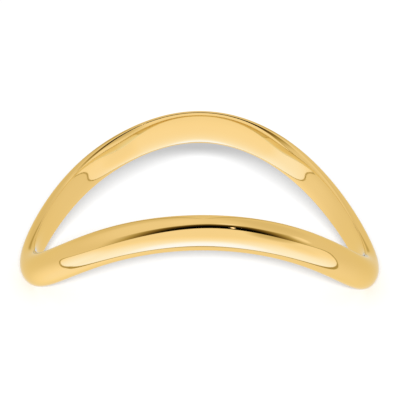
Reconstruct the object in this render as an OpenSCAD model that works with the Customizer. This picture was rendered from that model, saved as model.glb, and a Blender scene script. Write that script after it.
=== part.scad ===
/* [Finger hole] */
// Diameter of the finger hole at its narrowest, a US size 9
finger_d = 19; // [15:0.5:23]

/* [Band] */
// Width of the band from its upper to its lower edge, at a crest
band_w = 2; // [1.4:0.05:3]
// How far the outside domes out from the line of the two edges
outer_dome = 0.8; // [0.5:0.05:1.3]
// How far the inside domes in from the line of the two edges, for comfort
inner_dome = 0.15; // [0.05:0.05:0.5]
// How full the inside is: 2 is half an ellipse, more is flatter with rounder edges
inner_fullness = 3; // [2:0.5:4]

/* [Wave] */
// Rise of the band's middle from a trough to a crest
wave_h = 5.3; // [0:0.1:7]
// How far the wave's quarter points are lifted, which broadens the crests and tightens the troughs
crest_fullness = 0.13; // [0:0.01:0.3]
// Part of the slope's stretch that the band follows on the flanks of the wave
flank_widening = 0.7; // [0:0.1:1]

/* [Hand finish] */
// Depth of the shallow low place that hand finishing left on the back crest's left shoulder
shoulder_dip = 0.2; // [0:0.05:0.3]
// Angle of that low place round the ring, from the back crest
shoulder_at = 25; // [15:1:35]
// Angle over which it fades out
shoulder_spread = 23; // [12:1:28]

/* [Smoothness] */
// Steps round the ring
ring_steps = 144; // [48:16:160]
// Points round the band's section
section_steps = 32; // [16:8:40]

/* [Hidden] */
gold = [0.91, 0.76, 0.49];
half_w = band_w / 2;
// radius of the line of the two edges, from which the band domes out and in
edge_r = finger_d / 2 + inner_dome;
// angles run from the front crest (-Y) towards the right (+X)
back_crest = 180;
degrees_per_radian = 180 / PI;

// signed difference of two angles, from -180 to 180
function turn_between(a, b) = (a - b + 540) % 360 - 180;

// height of the low place's edge at angle a, 0 away from it
function dip(a) =
    shoulder_dip * exp(-pow(turn_between(a, back_crest + shoulder_at) / shoulder_spread, 2));

// height of the band's middle above the middle of the wave
function wave(a) = wave_h / 2 * cos(2 * a) - crest_fullness * cos(4 * a) - dip(a);

// slope of the band's middle, as rise over run along the edge circle
function slope(a) =
    (wave(a + 0.5) - wave(a - 0.5)) * degrees_per_radian / edge_r;

// half height of the band's section: on a flank the upright cut through a sloping band is longer
function half_height(a) =
    half_w * (1 + flank_widening * (sqrt(1 + pow(slope(a), 2)) - 1));

// a cosine or sine raised to a power with its sign kept, which turns an ellipse into a fuller oval
function fuller(x, power) = sign(x) * pow(abs(x), power);

// point t of the section at angle a: half an ellipse outside and half a fuller oval inside
function section_point(a, t) =
    let (outside = cos(t) > 0)
    let (dome = outside ? outer_dome : inner_dome)
    let (power = outside ? 1 : 2 / inner_fullness)
    let (r = edge_r + dome * fuller(cos(t), power))
    [r * sin(a), -r * cos(a), wave(a) + half_height(a) * fuller(sin(t), power)];

function ring_points() = [
    for (i = [0 : ring_steps - 1])
    for (j = [0 : section_steps - 1])
    section_point(360 * i / ring_steps, 360 * j / section_steps)
];

// index of point j of section i, counted round in both ways
function at(i, j) = (i % ring_steps) * section_steps + j % section_steps;

function ring_faces() = [
    for (i = [0 : ring_steps - 1])
    for (j = [0 : section_steps - 1])
    [at(i, j), at(i, j + 1), at(i + 1, j + 1), at(i + 1, j)]
];

// The whole ring is one piece of metal. It stands on its two troughs, left and right.
module band() {
    points = ring_points();
    lowest = min([for (p = points) p[2]]);
    color(gold)
    translate([0, 0, -lowest])
    polyhedron(points = points, faces = ring_faces(), convexity = 6);
}

band();
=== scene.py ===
import math

import bpy
from mathutils import Matrix, Vector


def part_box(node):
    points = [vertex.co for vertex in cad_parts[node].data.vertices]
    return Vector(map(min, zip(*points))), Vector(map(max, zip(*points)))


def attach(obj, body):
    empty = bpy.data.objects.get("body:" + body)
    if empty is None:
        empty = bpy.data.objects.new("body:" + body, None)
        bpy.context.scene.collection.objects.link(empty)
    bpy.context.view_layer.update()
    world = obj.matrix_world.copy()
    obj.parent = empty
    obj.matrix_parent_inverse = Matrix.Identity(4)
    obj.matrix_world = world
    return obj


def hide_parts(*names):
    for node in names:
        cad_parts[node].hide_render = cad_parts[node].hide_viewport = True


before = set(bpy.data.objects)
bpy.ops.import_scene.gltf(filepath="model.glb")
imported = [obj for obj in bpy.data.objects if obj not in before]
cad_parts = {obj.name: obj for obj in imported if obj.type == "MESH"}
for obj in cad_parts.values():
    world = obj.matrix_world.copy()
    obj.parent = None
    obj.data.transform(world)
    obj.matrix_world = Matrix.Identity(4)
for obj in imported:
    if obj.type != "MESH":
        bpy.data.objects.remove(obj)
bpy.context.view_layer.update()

# The camera looks at the front crest from a little above, as in the photograph, with a
# long lens, so the far side of the ring is drawn nearly as large as the near side. It
# stands a little to the left of the ring's middle, and its right side is tipped up.
CAMERA_RISE = math.radians(18.92)
CAMERA_TO_THE_LEFT = math.radians(2.07)
CAMERA_TIP = math.radians(1.25)
CAMERA_DISTANCE = 0.1621
CAMERA_SENSOR_MM = 36.0
CAMERA_LENS_MM = 251.7
CAMERA_SEES_FROM = 0.01
# the middle of the ring lies this far below and to the right of the picture's middle
RING_BELOW_MIDDLE = 0.00102
RING_RIGHT_OF_MIDDLE = 0.000025

# fuller crests lower both ends of the wave, so its middle is that much above half height
band_low, band_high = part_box("band")
BAND_WIDTH = 0.002
CREST_FULLNESS = 0.00013
wave_height = band_high.z - band_low.z - BAND_WIDTH
wave_middle = band_low.z + wave_height / 2 + CREST_FULLNESS + BAND_WIDTH / 2
ring_middle = Vector((0, 0, wave_middle))


def facing(turn, rise):
    """The direction that is turned from the front towards the right and rises from level."""
    return Vector((
        math.sin(turn) * math.cos(rise),
        -math.cos(turn) * math.cos(rise),
        math.sin(rise),
    ))


to_camera = facing(-CAMERA_TO_THE_LEFT, CAMERA_RISE)
level_right = (-to_camera).cross(Vector((0, 0, 1))).normalized()
level_up = to_camera.cross(level_right)
camera_right = math.cos(CAMERA_TIP) * level_right + math.sin(CAMERA_TIP) * level_up
camera_up = to_camera.cross(camera_right)
aim = ring_middle + RING_BELOW_MIDDLE * camera_up - RING_RIGHT_OF_MIDDLE * camera_right

camera_data = bpy.data.cameras.new("camera")
camera_data.sensor_width = CAMERA_SENSOR_MM
camera_data.lens = CAMERA_LENS_MM
camera_data.clip_start = CAMERA_SEES_FROM
camera = bpy.data.objects.new("camera", camera_data)
camera.matrix_world = Matrix.LocRotScale(
    aim + CAMERA_DISTANCE * to_camera,
    Matrix((camera_right, camera_up, to_camera)).transposed(),
    None,
)
bpy.context.scene.collection.objects.link(camera)
bpy.context.scene.camera = camera


# The band is the whole ring: one closed band of 14 carat yellow gold, cast to its wave,
# filed and then polished by hand to a mirror on a wheel. Its outside is domed, its inside
# is gently rounded for comfort, and its two edges are soft.
def add_node(tree, kind, inputs=None, **settings):
    """Adds a node; inputs gives each socket a value, or the node or socket that feeds it."""
    node = tree.nodes.new(kind)
    for name, value in settings.items():
        setattr(node, name, value)
    for socket, value in (inputs or {}).items():
        if isinstance(value, bpy.types.Node):
            value = value.outputs[0]
        if isinstance(value, bpy.types.NodeSocket):
            tree.links.new(value, node.inputs[socket])
        else:
            node.inputs[socket].default_value = value
    return node


def linear(hex_colour):
    """The linear RGBA of an sRGB hex colour such as #f9d389."""
    channels = [int(hex_colour[i : i + 2], 16) / 255 for i in (1, 3, 5)]
    return [c / 12.92 if c <= 0.04045 else ((c + 0.055) / 1.055) ** 2.4 for c in channels] + [1.0]


OUTER_DOME = 0.0008
# angles round the ring are counted from the front crest towards the right
BACK_CREST, SHOULDER_PAST_BACK = 180, 25
BAND_SIZES = {
    "Edge radius": band_high.x - OUTER_DOME,
    "Band width": BAND_WIDTH,
    "Outer dome": OUTER_DOME,
    "Inner dome": 0.00015,
    "Inner fullness": 3.0,
    "Wave middle": wave_middle,
    "Wave height": wave_height,
    "Crest fullness": CREST_FULLNESS,
    "Flank widening": 0.7,
    "Shoulder dip": 0.0002,
    "Shoulder angle": math.radians(BACK_CREST + SHOULDER_PAST_BACK),
    "Shoulder spread": math.radians(23),
}
BAND_STEPS = {"Steps round": 600, "Section steps": 160}
# ends of neighbouring rows that lie this close are one point, which closes both seams
SEAM_GAP = 1e-6

band_tree = bpy.data.node_groups.new("wave_band", "GeometryNodeTree")
band_tree.interface.new_socket("Mesh", in_out="OUTPUT", socket_type="NodeSocketGeometry")
socket_names = {}
for socket_type, values in (("NodeSocketFloat", BAND_SIZES), ("NodeSocketInt", BAND_STEPS)):
    for name, value in values.items():
        socket = band_tree.interface.new_socket(name, in_out="INPUT", socket_type=socket_type)
        socket.default_value = value
        socket_names[name] = socket.identifier
size = add_node(band_tree, "NodeGroupInput").outputs
MATH = "ShaderNodeMath"

# a flat grid, one full turn round the ring along X and one round the section along Y
columns = add_node(band_tree, MATH, {0: size["Steps round"], 1: 1}, operation="ADD")
rows = add_node(band_tree, MATH, {0: size["Section steps"], 1: 1}, operation="ADD")
grid = add_node(
    band_tree,
    "GeometryNodeMeshGrid",
    {"Size X": math.tau, "Size Y": math.tau, "Vertices X": columns, "Vertices Y": rows},
)
place = add_node(band_tree, "GeometryNodeInputPosition")
angles = add_node(band_tree, "ShaderNodeSeparateXYZ", {0: place})
around, section = angles.outputs["X"], angles.outputs["Y"]

# the shallow low place on the back crest's left shoulder fades out like a bell
past_shoulder = add_node(band_tree, MATH, {0: around, 1: size["Shoulder angle"]}, operation="SUBTRACT")
turn = add_node(band_tree, MATH, {0: past_shoulder, 1: math.pi, 2: -math.pi}, operation="WRAP")
spreads = add_node(band_tree, MATH, {0: turn, 1: size["Shoulder spread"]}, operation="DIVIDE")
spreads_squared = add_node(band_tree, MATH, {0: spreads, 1: spreads}, operation="MULTIPLY")
falloff = add_node(band_tree, MATH, {0: spreads_squared, 1: -1}, operation="MULTIPLY")
bell = add_node(band_tree, MATH, {0: falloff}, operation="EXPONENT")
dip = add_node(band_tree, MATH, {0: bell, 1: size["Shoulder dip"]}, operation="MULTIPLY")

# the wave: two crests and two troughs, with broad crests and tighter troughs
twice = add_node(band_tree, MATH, {0: around, 1: 2}, operation="MULTIPLY")
cos_twice = add_node(band_tree, MATH, {0: twice}, operation="COSINE")
sin_twice = add_node(band_tree, MATH, {0: twice}, operation="SINE")
four_times = add_node(band_tree, MATH, {0: around, 1: 4}, operation="MULTIPLY")
cos_four = add_node(band_tree, MATH, {0: four_times}, operation="COSINE")
sin_four = add_node(band_tree, MATH, {0: four_times}, operation="SINE")
half_rise = add_node(band_tree, MATH, {0: size["Wave height"], 1: 2}, operation="DIVIDE")
crests = add_node(band_tree, MATH, {0: cos_twice, 1: half_rise}, operation="MULTIPLY")
fullness = add_node(band_tree, MATH, {0: cos_four, 1: size["Crest fullness"]}, operation="MULTIPLY")
full_crests = add_node(band_tree, MATH, {0: crests, 1: fullness}, operation="SUBTRACT")
wave = add_node(band_tree, MATH, {0: full_crests, 1: dip}, operation="SUBTRACT")

# its slope, as rise over run along the edges' circle, from the three terms above
crest_rise = add_node(band_tree, MATH, {0: sin_twice, 1: size["Wave height"]}, operation="MULTIPLY")
full_sine = add_node(band_tree, MATH, {0: sin_four, 1: size["Crest fullness"]}, operation="MULTIPLY")
fullness_rise = add_node(band_tree, MATH, {0: full_sine, 1: 4}, operation="MULTIPLY")
dip_share = add_node(band_tree, MATH, {0: dip, 1: spreads}, operation="MULTIPLY")
dip_double = add_node(band_tree, MATH, {0: dip_share, 1: 2}, operation="MULTIPLY")
dip_rise = add_node(band_tree, MATH, {0: dip_double, 1: size["Shoulder spread"]}, operation="DIVIDE")
upward = add_node(band_tree, MATH, {0: fullness_rise, 1: dip_rise}, operation="ADD")
rise = add_node(band_tree, MATH, {0: upward, 1: crest_rise}, operation="SUBTRACT")
slope = add_node(band_tree, MATH, {0: rise, 1: size["Edge radius"]}, operation="DIVIDE")

# on a flank the upright cut through the sloping band is longer
stretch_squared = add_node(band_tree, MATH, {0: slope, 1: slope, 2: 1}, operation="MULTIPLY_ADD")
stretch = add_node(band_tree, MATH, {0: stretch_squared}, operation="SQRT")
extra = add_node(band_tree, MATH, {0: stretch, 1: 1}, operation="SUBTRACT")
widening = add_node(
    band_tree, MATH, {0: extra, 1: size["Flank widening"], 2: 1}, operation="MULTIPLY_ADD"
)
half_width = add_node(band_tree, MATH, {0: size["Band width"], 1: 2}, operation="DIVIDE")
half_height = add_node(band_tree, MATH, {0: half_width, 1: widening}, operation="MULTIPLY")

# the section: half an ellipse domes out from the edges' circle, and half a fuller oval, with
# its cosine and sine raised to a power under 1, domes in
cos_section = add_node(band_tree, MATH, {0: section}, operation="COSINE")
sin_section = add_node(band_tree, MATH, {0: section}, operation="SINE")
inside = add_node(band_tree, MATH, {0: cos_section, 1: 0}, operation="LESS_THAN")
power = add_node(band_tree, MATH, {0: 2, 1: size["Inner fullness"]}, operation="DIVIDE")
less_power = add_node(band_tree, MATH, {0: power, 1: 1}, operation="SUBTRACT")
section_power = add_node(
    band_tree, MATH, {0: inside, 1: less_power, 2: 1}, operation="MULTIPLY_ADD"
)
full = {}
for name, plain in (("cosine", cos_section), ("sine", sin_section)):
    length = add_node(band_tree, MATH, {0: plain}, operation="ABSOLUTE")
    raised = add_node(band_tree, MATH, {0: length, 1: section_power}, operation="POWER")
    side = add_node(band_tree, MATH, {0: plain}, operation="SIGN")
    full[name] = add_node(band_tree, MATH, {0: raised, 1: side}, operation="MULTIPLY")
outward = add_node(band_tree, MATH, {0: full["cosine"], 1: 0}, operation="MAXIMUM")
inward = add_node(band_tree, MATH, {0: full["cosine"], 1: 0}, operation="MINIMUM")
outer_radius = add_node(
    band_tree,
    MATH,
    {0: outward, 1: size["Outer dome"], 2: size["Edge radius"]},
    operation="MULTIPLY_ADD",
)
radius = add_node(
    band_tree, MATH, {0: inward, 1: size["Inner dome"], 2: outer_radius}, operation="MULTIPLY_ADD"
)
middle = add_node(band_tree, MATH, {0: wave, 1: size["Wave middle"]}, operation="ADD")
height = add_node(
    band_tree, MATH, {0: full["sine"], 1: half_height, 2: middle}, operation="MULTIPLY_ADD"
)
sine = add_node(band_tree, MATH, {0: around}, operation="SINE")
cosine = add_node(band_tree, MATH, {0: around}, operation="COSINE")
right = add_node(band_tree, MATH, {0: radius, 1: sine}, operation="MULTIPLY")
away = add_node(band_tree, MATH, {0: radius, 1: cosine}, operation="MULTIPLY")
front = add_node(band_tree, MATH, {0: away, 1: -1}, operation="MULTIPLY")
point = add_node(band_tree, "ShaderNodeCombineXYZ", {"X": right, "Y": front, "Z": height})

bent = add_node(band_tree, "GeometryNodeSetPosition", {"Geometry": grid, "Position": point})
closed = add_node(band_tree, "GeometryNodeMergeByDistance", {"Geometry": bent, "Distance": SEAM_GAP})
smooth = add_node(band_tree, "GeometryNodeSetShadeSmooth", {"Geometry": closed})
realized = add_node(band_tree, "GeometryNodeRealizeInstances", {"Geometry": smooth})

# 14 carat yellow gold, cast, filed and buffed with rouge: a clean mirror of a warm pale
# yellow. Its reflections stay sharp, but swim a little where the wheel pressed harder and
# blur a little along its faint hairlines, which are drawn about five times as coarse as
# real ones, or they would not show.
GOLD_HEX = "#f9d389"
GOLD_CLOUD_HEX = "#f7cf83"
CLOUD_MM = 4.0
WHEEL_WAVE_MM = 2.5
WHEEL_WAVE_DEPTH_MM = 0.002
HAIRLINE_WIDTH_MM = 0.06
HAIRLINE_LENGTH_MM = 2.5
SMOOTHEST, ROUGHEST = 0.03, 0.06
# gold keeps its colour at a glancing angle
GRAZING_TINT = (0.98, 0.88, 0.62, 1.0)
MM = 0.001

gold = bpy.data.materials.new("polished_14_carat_gold")
gold.use_nodes = True
gold_tree = gold.node_tree
gold_tree.nodes.clear()
coordinates = add_node(gold_tree, "ShaderNodeTexCoord").outputs["Object"]
clouds = add_node(
    gold_tree, "ShaderNodeTexNoise", {"Vector": coordinates, "Scale": 1 / (CLOUD_MM * MM)}
)
yellow = add_node(
    gold_tree,
    "ShaderNodeMixRGB",
    {"Fac": clouds, "Color1": linear(GOLD_HEX), "Color2": linear(GOLD_CLOUD_HEX)},
)
wheel_waves = add_node(
    gold_tree,
    "ShaderNodeTexNoise",
    {"Vector": coordinates, "Scale": 1 / (WHEEL_WAVE_MM * MM), "Detail": 0.0},
)
swim = add_node(
    gold_tree, "ShaderNodeBump", {"Height": wheel_waves, "Distance": WHEEL_WAVE_DEPTH_MM * MM}
)
# hairlines lie level round the ring, as the wheel ran, so their noise is squeezed upright
level = add_node(
    gold_tree,
    "ShaderNodeMapping",
    {"Vector": coordinates, "Scale": (1, 1, HAIRLINE_LENGTH_MM / HAIRLINE_WIDTH_MM)},
)
hairlines = add_node(
    gold_tree, "ShaderNodeTexNoise", {"Vector": level, "Scale": 1 / (HAIRLINE_LENGTH_MM * MM)}
)
roughness = add_node(
    gold_tree,
    "ShaderNodeMapRange",
    {"Value": hairlines, "To Min": SMOOTHEST, "To Max": ROUGHEST},
)
gold_surface = add_node(
    gold_tree,
    "ShaderNodeBsdfPrincipled",
    {
        "Base Color": yellow,
        "Metallic": 1.0,
        "Roughness": roughness,
        "Specular Tint": GRAZING_TINT,
        "Normal": swim,
    },
)
add_node(gold_tree, "ShaderNodeOutputMaterial", {"Surface": gold_surface})

dressed = add_node(
    band_tree, "GeometryNodeSetMaterial", {"Geometry": realized, "Material": gold}
)
add_node(band_tree, "NodeGroupOutput", {"Mesh": dressed})

band = bpy.data.objects.new("gold_band", bpy.data.meshes.new("gold_band_start"))
bpy.context.scene.collection.objects.link(band)
modifier = band.modifiers.new("wave_band", "NODES")
modifier.node_group = band_tree
for name, value in (BAND_SIZES | BAND_STEPS).items():
    modifier[socket_names[name]] = value
evaluated = band.evaluated_get(bpy.context.evaluated_depsgraph_get())
band_mesh = bpy.data.meshes.new_from_object(evaluated)
band_mesh.name = "gold_band"
band.modifiers.remove(modifier)
band.data = band_mesh
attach(band, "root")
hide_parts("band")


# The floor is a wide sheet of matt white card. The ring does not mirror it, because the tent
# below stands in for the light that a pale floor would throw up.
FLOOR_HALF = 0.6
FLOOR_HEX = "#d9d9d9"

floor_mesh = bpy.data.meshes.new("floor")
floor_corners = [
    (x * FLOOR_HALF, y * FLOOR_HALF, band_low.z) for x in (-1, 1) for y in (-1, 1)
]
floor_mesh.from_pydata(floor_corners, [], [(0, 2, 3, 1)])
card = bpy.data.materials.new("matt_white_card")
card.use_nodes = True
card_tree = card.node_tree
card_tree.nodes.clear()
card_surface = add_node(card_tree, "ShaderNodeBsdfDiffuse", {"Color": linear(FLOOR_HEX)})
add_node(card_tree, "ShaderNodeOutputMaterial", {"Surface": card_surface})
floor_mesh.materials.append(card)
floor = bpy.data.objects.new("floor", floor_mesh)
bpy.context.scene.collection.objects.link(floor)
floor.visible_glossy = False


# The key light is a softbox just above the camera, long and low, which lays the ring's soft
# shadow close behind it on the floor. The ring mirrors the tent and not this light.
KEY_RISE = math.radians(20.35)
KEY_DISTANCE = 1.0
KEY_WIDTH, KEY_HEIGHT = 0.228, 0.047
KEY_STRENGTH = 22.5

key_data = bpy.data.lights.new("key", "AREA")
key_data.shape = "RECTANGLE"
key_data.size = KEY_WIDTH
key_data.size_y = KEY_HEIGHT
key_data.energy = KEY_STRENGTH
key = bpy.data.objects.new("key", key_data)
to_key = facing(-CAMERA_TO_THE_LEFT, KEY_RISE)
key.location = ring_middle + KEY_DISTANCE * to_key
key.rotation_euler = to_key.to_track_quat("Z", "Y").to_euler()
key.visible_glossy = False
bpy.context.scene.collection.objects.link(key)


# The tent is a box of softly lit cloth that only the gold mirrors: pale walls with two dark
# seams at the back, a bright sheet with a thin dark hem in front and underneath, and above the
# sheet the dark mouth that the camera looks in through, with one small lamp in it.
TENT_LEFT, TENT_RIGHT = 0.046, 0.2
TENT_FRONT, TENT_BACK = 0.25, 0.08
TENT_DOWN, TENT_UP = 0.044, 0.116

tent_mesh = bpy.data.meshes.new("tent")
tent_corners = [
    (x, y, z)
    for x in (-TENT_LEFT, TENT_RIGHT)
    for y in (-TENT_FRONT, TENT_BACK)
    for z in (-TENT_DOWN, TENT_UP)
]
tent_walls = [(0, 1, 3, 2), (4, 6, 7, 5), (0, 4, 5, 1), (2, 3, 7, 6), (0, 2, 6, 4), (1, 5, 7, 3)]
tent_mesh.from_pydata(tent_corners, [], tent_walls)
tent = bpy.data.objects.new("tent", tent_mesh)
tent.location = ring_middle
tent.visible_camera = False
tent.visible_diffuse = False
tent.visible_transmission = False
tent.visible_volume_scatter = False
tent.visible_shadow = False
bpy.context.scene.collection.objects.link(tent)

glow_cloth = bpy.data.materials.new("lit_tent_cloth")
glow_cloth.use_nodes = True
# it lights nothing but the reflections, so no light is sought on it
glow_cloth.cycles.emission_sampling = "NONE"
cloth_tree = glow_cloth.node_tree
cloth_tree.nodes.clear()
tent_mesh.materials.append(glow_cloth)

# what hangs where is given by the direction from the ring's middle, in parts of its unit length
STEP = "SMOOTHSTEP"
from_ring = add_node(cloth_tree, "ShaderNodeTexCoord").outputs["Object"]
direction = add_node(cloth_tree, "ShaderNodeVectorMath", {0: from_ring}, operation="NORMALIZE")
parts = add_node(cloth_tree, "ShaderNodeSeparateXYZ", {0: direction})
across, ahead, upright = parts.outputs["X"], parts.outputs["Y"], parts.outputs["Z"]
across_squared = add_node(cloth_tree, MATH, {0: across, 1: across}, operation="MULTIPLY")

# how far outside the sheet a direction lies, under 0 on it: past its bowed top edge, or past
# its back edge, which runs under the ring and comes forward in the middle
SHEET_TOP_FACING = (-0.125, -0.224, 0.967)
SHEET_TOP_BOW, SHEET_TOP_REACH = 0.765, 0.666
SHEET_BACK_LEAN, SHEET_BACK_BOW, SHEET_BACK_REACH = 0.504, 0.252, 0.399
SHEET_NOTCH, SHEET_NOTCH_WIDTH = 0.392, 0.312
SHEET_CORNER, SHEET_CORNER_TO_RIGHT = 0.4, 0.2
above_top = add_node(
    cloth_tree,
    "ShaderNodeVectorMath",
    {0: direction, 1: SHEET_TOP_FACING},
    operation="DOT_PRODUCT",
).outputs["Value"]
bowed_top = add_node(
    cloth_tree, MATH, {0: across_squared, 1: SHEET_TOP_BOW, 2: above_top}, operation="MULTIPLY_ADD"
)
past_top = add_node(cloth_tree, MATH, {0: bowed_top, 1: SHEET_TOP_REACH}, operation="SUBTRACT")
behind = add_node(
    cloth_tree,
    "ShaderNodeVectorMath",
    {0: direction, 1: (0, 1, -SHEET_BACK_LEAN)},
    operation="DOT_PRODUCT",
).outputs["Value"]
bowed_back = add_node(
    cloth_tree, MATH, {0: across_squared, 1: SHEET_BACK_BOW, 2: behind}, operation="MULTIPLY_ADD"
)
notch_falloff = add_node(
    cloth_tree, MATH, {0: across_squared, 1: -1 / SHEET_NOTCH_WIDTH**2}, operation="MULTIPLY"
)
notch = add_node(cloth_tree, MATH, {0: notch_falloff}, operation="EXPONENT")
notched_back = add_node(
    cloth_tree, MATH, {0: notch, 1: SHEET_NOTCH, 2: bowed_back}, operation="MULTIPLY_ADD"
)
past_back = add_node(cloth_tree, MATH, {0: notched_back, 1: SHEET_BACK_REACH}, operation="SUBTRACT")
corner = add_node(
    cloth_tree, MATH, {0: across, 1: SHEET_CORNER_TO_RIGHT, 2: SHEET_CORNER}, operation="MULTIPLY_ADD"
)
outside = add_node(
    cloth_tree, MATH, {0: past_top, 1: past_back, 2: corner}, operation="SMOOTH_MAX"
)

# the sheet glows more and more towards the ground, and so do the walls
TONES = {"sheet": (1.0, 0.32), "walls": (0.82, 0.14)}
GLOW_START, GLOW_END = -0.1, -0.85
glow = add_node(
    cloth_tree,
    "ShaderNodeMapRange",
    {"Value": upright, "From Min": GLOW_START, "From Max": GLOW_END},
    interpolation_type=STEP,
)
tones = {
    surface: add_node(cloth_tree, MATH, {0: glow, 1: glow_tone, 2: plain_tone}, operation="MULTIPLY_ADD")
    for surface, (plain_tone, glow_tone) in TONES.items()
}

# round patches of softer light or shade: where each lies, its turn from the front towards the
# right, its rise and its reach in degrees, and the brightness that it adds in its middle
SOFTBOXES = (
    ("sheet", -75, -25, 20, 0.1),
    ("sheet", 50, 10, 22, -0.35),
    ("sheet", 62, -22, 16, -0.06),
    ("sheet", 0, -55, 28, 0.18),
    ("walls", -65, 45, 50, 0.09),
    ("walls", -150, 35, 35, -0.08),
    ("walls", 105, 50, 35, -0.08),
    ("walls", -95, -50, 40, 0.13),
    ("walls", 80, 15, 10, 0.25),
    ("walls", 25, 45, 15, 0.4),
    ("walls", 10, 72, 35, 0.06),
)
for surface, box_turn, box_rise, box_reach, box_tone in SOFTBOXES:
    to_box = facing(math.radians(box_turn), math.radians(box_rise))
    towards_box = add_node(
        cloth_tree, "ShaderNodeVectorMath", {0: direction, 1: to_box}, operation="DOT_PRODUCT"
    ).outputs["Value"]
    box_light = add_node(
        cloth_tree,
        "ShaderNodeMapRange",
        {
            "Value": towards_box,
            "From Min": math.cos(math.radians(box_reach)),
            "From Max": 1.0,
            "To Min": 0.0,
            "To Max": box_tone,
        },
        interpolation_type=STEP,
    )
    tones[surface] = add_node(cloth_tree, MATH, {0: tones[surface], 1: box_light}, operation="ADD")

# a dark seam runs up the back wall on either side, from the ring's level
SEAM_TURN, SEAM_REACH = math.radians(19), math.radians(6)
SEAM_FOOT, SEAM_FULL = 0.0, 0.15
SEAM_TONE = -0.32
turn_from_back = add_node(cloth_tree, MATH, {0: across, 1: ahead}, operation="ARCTAN2")
to_either_side = add_node(cloth_tree, MATH, {0: turn_from_back}, operation="ABSOLUTE")
past_seam = add_node(cloth_tree, MATH, {0: to_either_side, 1: SEAM_TURN}, operation="SUBTRACT")
from_seam = add_node(cloth_tree, MATH, {0: past_seam}, operation="ABSOLUTE")
seam = add_node(
    cloth_tree,
    "ShaderNodeMapRange",
    {"Value": from_seam, "From Min": SEAM_REACH, "From Max": 0.0},
    interpolation_type=STEP,
)
seam_tone = add_node(
    cloth_tree,
    "ShaderNodeMapRange",
    {
        "Value": upright,
        "From Min": SEAM_FOOT,
        "From Max": SEAM_FULL,
        "To Min": 0.0,
        "To Max": SEAM_TONE,
    },
    interpolation_type=STEP,
)
tones["walls"] = add_node(
    cloth_tree, MATH, {0: seam, 1: seam_tone, 2: tones["walls"]}, operation="MULTIPLY_ADD"
)

# the mouth's upper edge is bowed and tipped, and the mouth fades out towards both sides
MOUTH_TOP, MOUTH_TIP, MOUTH_BOW, MOUTH_SOFTNESS = 0.789, 0.125, 0.646, 0.06
MOUTH_SIDE, MOUTH_FRONT, MOUTH_TO_RIGHT = -0.22, -0.78, 0.16
from_mouth = add_node(
    cloth_tree,
    "ShaderNodeVectorMath",
    {0: direction, 1: (-MOUTH_TIP, 0, 1)},
    operation="DOT_PRODUCT",
).outputs["Value"]
above_mouth = add_node(
    cloth_tree, MATH, {0: across_squared, 1: MOUTH_BOW, 2: from_mouth}, operation="MULTIPLY_ADD"
)
under_edge = add_node(
    cloth_tree,
    "ShaderNodeMapRange",
    {
        "Value": above_mouth,
        "From Min": MOUTH_TOP + MOUTH_SOFTNESS / 2,
        "From Max": MOUTH_TOP - MOUTH_SOFTNESS / 2,
    },
    interpolation_type=STEP,
)
ahead_of_mouth = add_node(
    cloth_tree,
    "ShaderNodeVectorMath",
    {0: direction, 1: (-MOUTH_TO_RIGHT, 1, 0)},
    operation="DOT_PRODUCT",
).outputs["Value"]
in_front = add_node(
    cloth_tree,
    "ShaderNodeMapRange",
    {"Value": ahead_of_mouth, "From Min": MOUTH_SIDE, "From Max": MOUTH_FRONT},
    interpolation_type=STEP,
)
mouth = add_node(cloth_tree, MATH, {0: under_edge, 1: in_front}, operation="MULTIPLY")
cloth_share = add_node(cloth_tree, MATH, {0: 1, 1: mouth}, operation="SUBTRACT")
dark_walls = add_node(cloth_tree, MATH, {0: tones["walls"], 1: cloth_share}, operation="MULTIPLY")

# the hem follows the sheet's edge, and is wider underneath
HEM_TONE, HEM_SOFTNESS = 0.4, 0.012
HEM_HALF, HEM_HALF_UNDER = 0.004, 0.034
HEM_WIDENS, HEM_WIDEST = -0.4, -0.9
on_sheet = add_node(
    cloth_tree,
    "ShaderNodeMapRange",
    {"Value": outside, "From Min": HEM_SOFTNESS / 2, "From Max": -HEM_SOFTNESS / 2},
    interpolation_type=STEP,
)
cloth = add_node(cloth_tree, "ShaderNodeMix", {0: on_sheet, 2: dark_walls, 3: tones["sheet"]})
hem_half = add_node(
    cloth_tree,
    "ShaderNodeMapRange",
    {
        "Value": upright,
        "From Min": HEM_WIDENS,
        "From Max": HEM_WIDEST,
        "To Min": HEM_HALF,
        "To Max": HEM_HALF_UNDER,
    },
    interpolation_type=STEP,
)
from_edge = add_node(cloth_tree, MATH, {0: outside}, operation="ABSOLUTE")
past_hem = add_node(cloth_tree, MATH, {0: from_edge, 1: hem_half}, operation="SUBTRACT")
off_hem = add_node(
    cloth_tree,
    "ShaderNodeMapRange",
    {"Value": past_hem, "From Min": 0.0, "From Max": HEM_SOFTNESS},
    interpolation_type=STEP,
)
hem = add_node(cloth_tree, MATH, {0: cloth, 1: HEM_TONE}, operation="MINIMUM")
hemmed = add_node(cloth_tree, "ShaderNodeMix", {0: off_hem, 2: hem, 3: cloth})

# the small lamp in the mouth is a round spot with a soft rim
LAMP_TURN, LAMP_RISE = math.radians(26), math.radians(34)
LAMP_SIZE = 0.04
LAMP_LIGHT = (3.3, 3.2, 3.4, 1.0)
to_lamp = facing(LAMP_TURN, LAMP_RISE)
from_lamp = add_node(
    cloth_tree, "ShaderNodeVectorMath", {0: direction, 1: to_lamp}, operation="DISTANCE"
).outputs["Value"]
lamp = add_node(
    cloth_tree,
    "ShaderNodeMapRange",
    {"Value": from_lamp, "From Min": LAMP_SIZE, "From Max": LAMP_SIZE / 2},
    interpolation_type=STEP,
)

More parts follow.
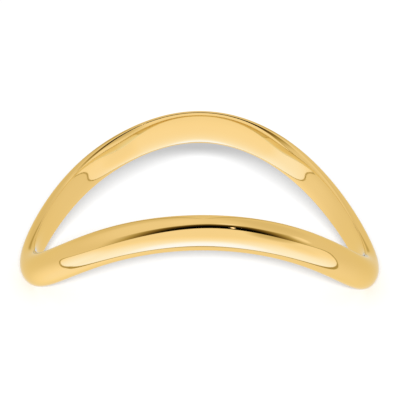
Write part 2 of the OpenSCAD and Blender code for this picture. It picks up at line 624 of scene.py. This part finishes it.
# the tone picks the light's colour, warm where it is dim and cool where it is brightest: each
# tone with its red, green and blue light
LIGHT_COLOURS = (
    (0.0, (0.0, 0.0, 0.0)),
    (0.14, (0.19, 0.14, 0.045)),
    (0.42, (0.47, 0.42, 0.22)),
    (0.81, (0.82, 0.81, 0.73)),
    (1.05, (1.03, 1.05, 1.12)),
    (1.29, (1.06, 1.29, 2.1)),
    (1.54, (1.06, 1.54, 3.8)),
)
BRIGHTEST = 1.6
share = add_node(cloth_tree, MATH, {0: hemmed, 1: BRIGHTEST}, operation="DIVIDE")
light = add_node(cloth_tree, "ShaderNodeValToRGB", {"Fac": share})
stops = light.color_ramp.elements
stops.remove(stops[1])
for index, (stop_tone, stop_light) in enumerate(LIGHT_COLOURS):
    stop = stops.new(stop_tone / BRIGHTEST) if index else stops[0]
    stop.color = (*stop_light, 1.0)
lamp_lit = add_node(
    cloth_tree,
    "ShaderNodeMixRGB",
    {"Fac": lamp, "Color1": light.outputs["Color"], "Color2": LAMP_LIGHT},
)

# light that the gold mirrors more than once comes back a browner tan, not a deep orange, by a
# tint that stops growing after the third time, before it turns blue
MIRRORED_AGAIN = (0.88, 1.18, 2.1, 1.0)
MOST_TIMES_AGAIN = 1.6
mirrorings = add_node(cloth_tree, "ShaderNodeLightPath").outputs["Glossy Depth"]
again = add_node(cloth_tree, MATH, {0: mirrorings, 1: 1}, operation="SUBTRACT")
times_again = add_node(cloth_tree, "ShaderNodeClamp", {"Value": again, "Max": MOST_TIMES_AGAIN})
tan = add_node(cloth_tree, "ShaderNodeGamma", {"Color": MIRRORED_AGAIN, "Gamma": times_again})
tinted = add_node(
    cloth_tree,
    "ShaderNodeMixRGB",
    {"Fac": 1.0, "Color1": lamp_lit, "Color2": tan},
    blend_type="MULTIPLY",
)
cloth_light = add_node(cloth_tree, "ShaderNodeEmission", {"Color": tinted})
add_node(cloth_tree, "ShaderNodeOutputMaterial", {"Surface": cloth_light})


# The studio is a plain white room. Its soft light falls on the floor from all round, and
# beyond the floor the eye sees nothing but white.
ROOM_LIGHT = 0.8
ROOM_WHITE = (1, 1, 1, 1)

studio = bpy.data.worlds.new("studio")
studio.use_nodes = True
studio_tree = studio.node_tree
studio_tree.nodes.clear()
daylight = add_node(
    studio_tree, "ShaderNodeBackground", {"Color": ROOM_WHITE, "Strength": ROOM_LIGHT}
)
plain_white = add_node(studio_tree, "ShaderNodeBackground", {"Color": ROOM_WHITE})
seen = add_node(studio_tree, "ShaderNodeLightPath").outputs["Is Camera Ray"]
shown = add_node(studio_tree, "ShaderNodeMixShader", {0: seen, 1: daylight, 2: plain_white})
add_node(studio_tree, "ShaderNodeOutputWorld", {"Surface": shown})
bpy.context.scene.world = studio
# colours are shown as they are, with no film curve
bpy.context.scene.view_settings.view_transform = "Standard"
